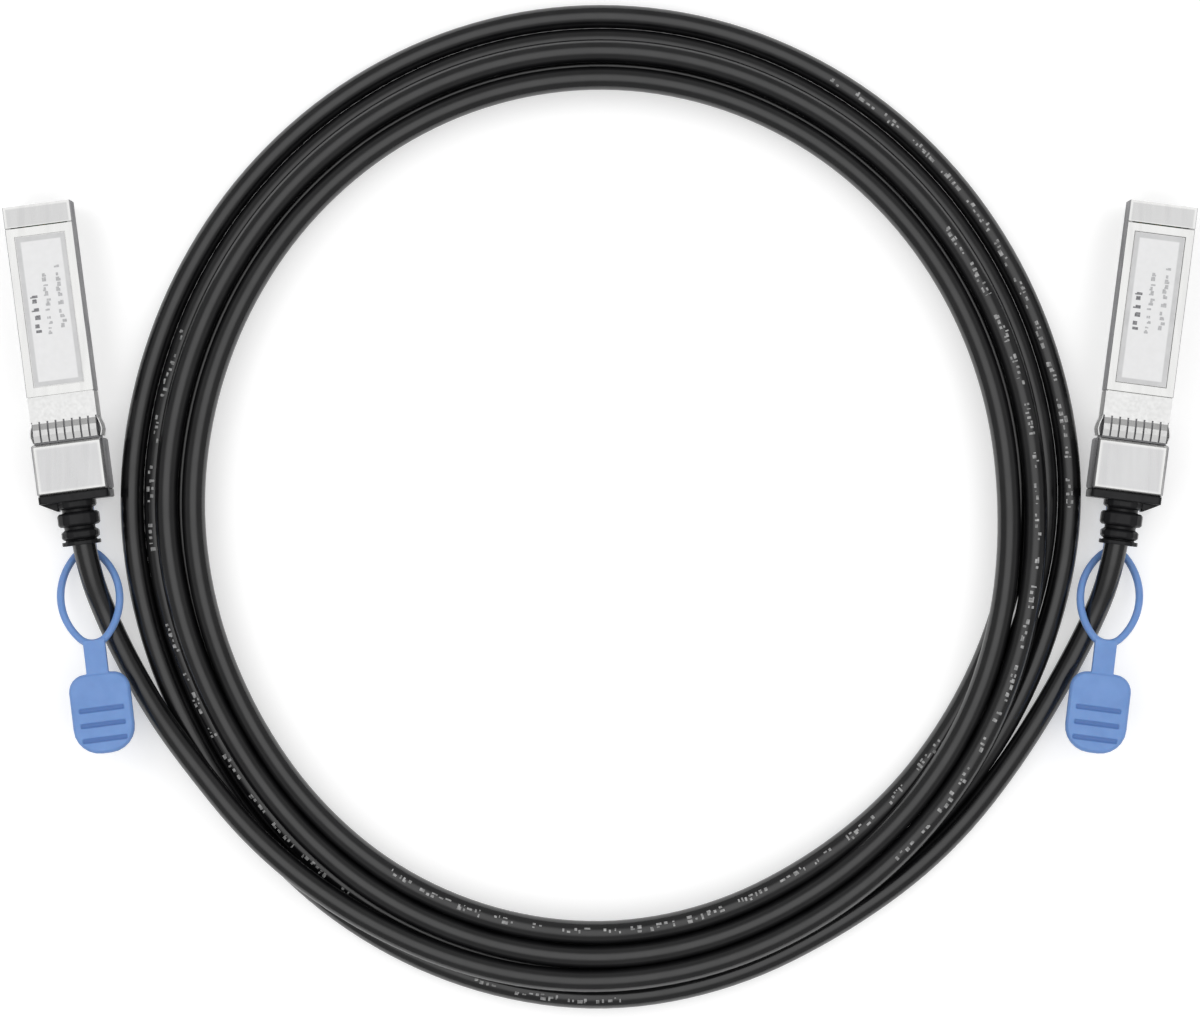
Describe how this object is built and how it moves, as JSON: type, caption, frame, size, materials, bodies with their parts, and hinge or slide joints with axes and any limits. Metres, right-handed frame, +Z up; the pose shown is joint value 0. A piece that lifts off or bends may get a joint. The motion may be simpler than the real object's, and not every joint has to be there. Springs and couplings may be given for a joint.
{
  "type": "direct attach copper cable",
  "caption": "Coiled black twinax cable with a metal pluggable plug, ribbed boot, latch and blue pull ring at each end.",
  "frame": {"origin": "on the surface the cable lies on, midway between the two plugs' outer ends and their front and back ends, the cable itself left out", "axes": "+Z up from the surface, +X towards the right-hand plug, +Y towards the ends that enter the host"},
  "size_m": [0.2372, 0.2014, 0.011],
  "materials": {
    "shell": "satin nickel plate on zinc casting",
    "label": "blank silver film",
    "screws": "plated",
    "spring_metal": "spring steel",
    "card": "solder mask",
    "contacts": "gold plate",
    "chip": "moulded package",
    "wire": "insulation",
    "braid": "tinned copper braid",
    "ferrule": "crimped",
    "boot": "matt moulding",
    "latch": "stamped",
    "pull": "soft moulding",
    "jacket": "semi-gloss jacket"
  },
  "bodies": {
    "shell": {"left_housing_base": "shell", "left_housing_cover": "shell", "left_label": "label", "left_cover_screws": "screws", "left_emi_collar": "spring_metal", "left_paddle_card": "card", "left_card_contacts": "contacts", "left_memory_chip": "chip", "left_wire_pairs": "wire", "left_shield_braid": "braid", "left_crimp_ferrule": "ferrule", "left_boot": "boot", "left_lever_pin": "latch", "left_latch_spring": "spring_metal", "right_housing_base": "shell", "right_housing_cover": "shell", "right_label": "label", "right_cover_screws": "screws", "right_emi_collar": "spring_metal", "right_paddle_card": "card", "right_card_contacts": "contacts", "right_memory_chip": "chip", "right_wire_pairs": "wire", "right_shield_braid": "braid", "right_crimp_ferrule": "ferrule", "right_boot": "boot", "right_lever_pin": "latch", "right_latch_spring": "spring_metal", "cable_coil": "jacket", "left_lead": "jacket", "right_lead": "jacket"},
    "left_release": {"left_release_slider": "latch", "left_pull_ring": "pull"},
    "left_latch": {"left_latch_lever": "latch"},
    "right_release": {"right_release_slider": "latch", "right_pull_ring": "pull"},
    "right_latch": {"right_latch_lever": "latch"}
  },
  "joints": [
    {"name": "left_release_pull", "type": "slide", "parent": "shell", "child": "left_release", "axis": [0.1288, -0.9917, 0], "range_m": [0, 0.0022], "stiffness_N_per_m": 1500, "springref_m": -0.002},
    {"name": "left_latch_tilt", "type": "hinge", "parent": "shell", "child": "left_latch", "pos_m": [-0.10487, -0.00012, 0.00175], "axis": [0.9917, 0.1288, 0], "range_deg": [0, 3.2], "deforming": ["left_latch_spring"]},
    {"name": "right_release_pull", "type": "slide", "parent": "shell", "child": "right_release", "axis": [-0.1288, -0.9917, 0], "range_m": [0, 0.0022], "stiffness_N_per_m": 1500, "springref_m": -0.002},
    {"name": "right_latch_tilt", "type": "hinge", "parent": "shell", "child": "right_latch", "pos_m": [0.10487, -0.00012, 0.00175], "axis": [0.9917, -0.1288, 0], "range_deg": [0, 3.2], "deforming": ["right_latch_spring"]}
  ],
  "couplings": [
    {"joint": "left_latch_tilt", "follows": "left_release_pull", "rad_per_m": 24.593},
    {"joint": "right_latch_tilt", "follows": "right_release_pull", "rad_per_m": 24.593}
  ]
}
